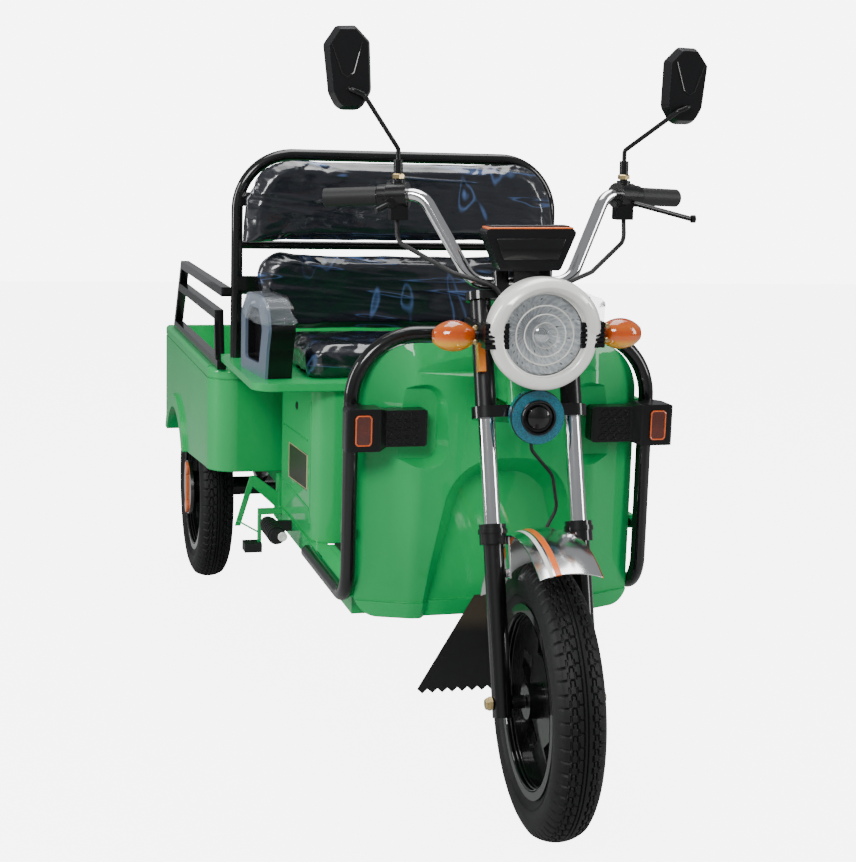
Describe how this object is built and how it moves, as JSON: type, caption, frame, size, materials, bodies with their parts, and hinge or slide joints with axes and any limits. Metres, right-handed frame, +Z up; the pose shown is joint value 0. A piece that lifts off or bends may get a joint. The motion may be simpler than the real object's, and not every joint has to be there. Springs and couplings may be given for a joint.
{
  "type": "electric tricycle",
  "caption": "Three-wheeled electric cargo tricycle with a green front shield, bench seat with backrest, armrests and a rear cargo box with side racks.",
  "frame": {"origin": "on the ground under the middle of the whole vehicle's length and width", "axes": "+Y points to the rear, +X to the vehicle's left, +Z up"},
  "size_m": [0.816, 2.2157, 1.3273],
  "materials": {
    "green_paint": "gloss",
    "black_paint": "satin",
    "polished_steel": "polished",
    "silver": "satin",
    "raw_steel": "brushed",
    "tyre": "matt",
    "black_rubber": "matt",
    "black_plastic": "matt",
    "grey_plastic": "satin",
    "teal_plastic": "gloss",
    "amber_plastic": "gloss",
    "red_plastic": "gloss",
    "clear_glass": "clear",
    "mirror": "polished",
    "seat_leather": "satin"
  },
  "bodies": {
    "chassis": {"armrest_cores": "black_plastic", "armrests": "grey_plastic", "backrest_frame": "black_paint", "backrest_lower": "seat_leather", "backrest_upper": "seat_leather", "battery": "black_plastic", "box_floor": "green_paint", "box_front": "green_paint", "box_side_left": "green_paint", "box_side_right": "green_paint", "brake_pedal": "green_paint", "corner_lamps": "black_plastic", "corner_lenses": "amber_plastic", "drive_motor": "black_paint", "floor_mat": "black_rubber", "foot_pegs": "black_rubber", "footboard": "green_paint", "frame": "green_paint", "front_shield": "green_paint", "guard_hoop": "black_paint", "leaf_springs": "black_paint", "pedal_pad": "black_rubber", "rear_axle": "black_paint", "seat_box": "green_paint", "seat_cushion": "seat_leather", "seat_deck": "green_paint", "side_racks": "black_paint", "tail_lamps": "red_plastic", "tailgate_hinges": "black_paint"},
    "tailgate": {"tailgate": "green_paint"},
    "steering": {"control_cables": "black_rubber", "fork_covers": "black_plastic", "fork_reflectors": "amber_plastic", "fork_sliders": "black_paint", "fork_yokes": "black_paint", "front_axle": "raw_steel", "front_fender": "polished_steel", "grips": "black_rubber", "hand_controls": "black_plastic", "handlebar": "polished_steel", "headlamp_lens": "clear_glass", "headlamp_shell": "silver", "horn": "teal_plastic", "instrument_pod": "black_plastic", "lamp_brackets": "black_plastic", "mirror_glass": "mirror", "mirrors": "black_plastic", "mud_flap": "black_rubber", "stanchions": "polished_steel", "turn_signals": "amber_plastic"},
    "front_wheel": {"front_rim": "black_paint", "front_tyre": "tyre"},
    "rear_wheel_right": {"rear_rim_right": "black_paint", "rear_tyre_right": "tyre"},
    "rear_wheel_left": {"rear_rim_left": "black_paint", "rear_tyre_left": "tyre"}
  },
  "joints": [
    {"name": "steering", "type": "hinge", "parent": "chassis", "child": "steering", "pos_m": [0, -0.833, 0.231], "axis": [0, 0.2924, 0.9563], "range_deg": [-36.6, 43.4]},
    {"name": "front_wheel", "type": "hinge", "parent": "steering", "child": "front_wheel", "pos_m": [-0.00249, -0.87693, 0.23098], "axis": [0.9982, -0.0567, 0.0173], "continuous": true},
    {"name": "rear_wheel_right", "type": "hinge", "parent": "chassis", "child": "rear_wheel_right", "pos_m": [-0.324, 0.877, 0.231], "axis": [1, 0, 0], "continuous": true},
    {"name": "rear_wheel_left", "type": "hinge", "parent": "chassis", "child": "rear_wheel_left", "pos_m": [0.324, 0.877, 0.231], "axis": [1, 0, 0], "continuous": true},
    {"name": "tailgate", "type": "hinge", "parent": "chassis", "child": "tailgate", "pos_m": [0, 1.102, 0.395], "axis": [-1, 0, 0], "range_deg": [0, 90]}
  ]
}
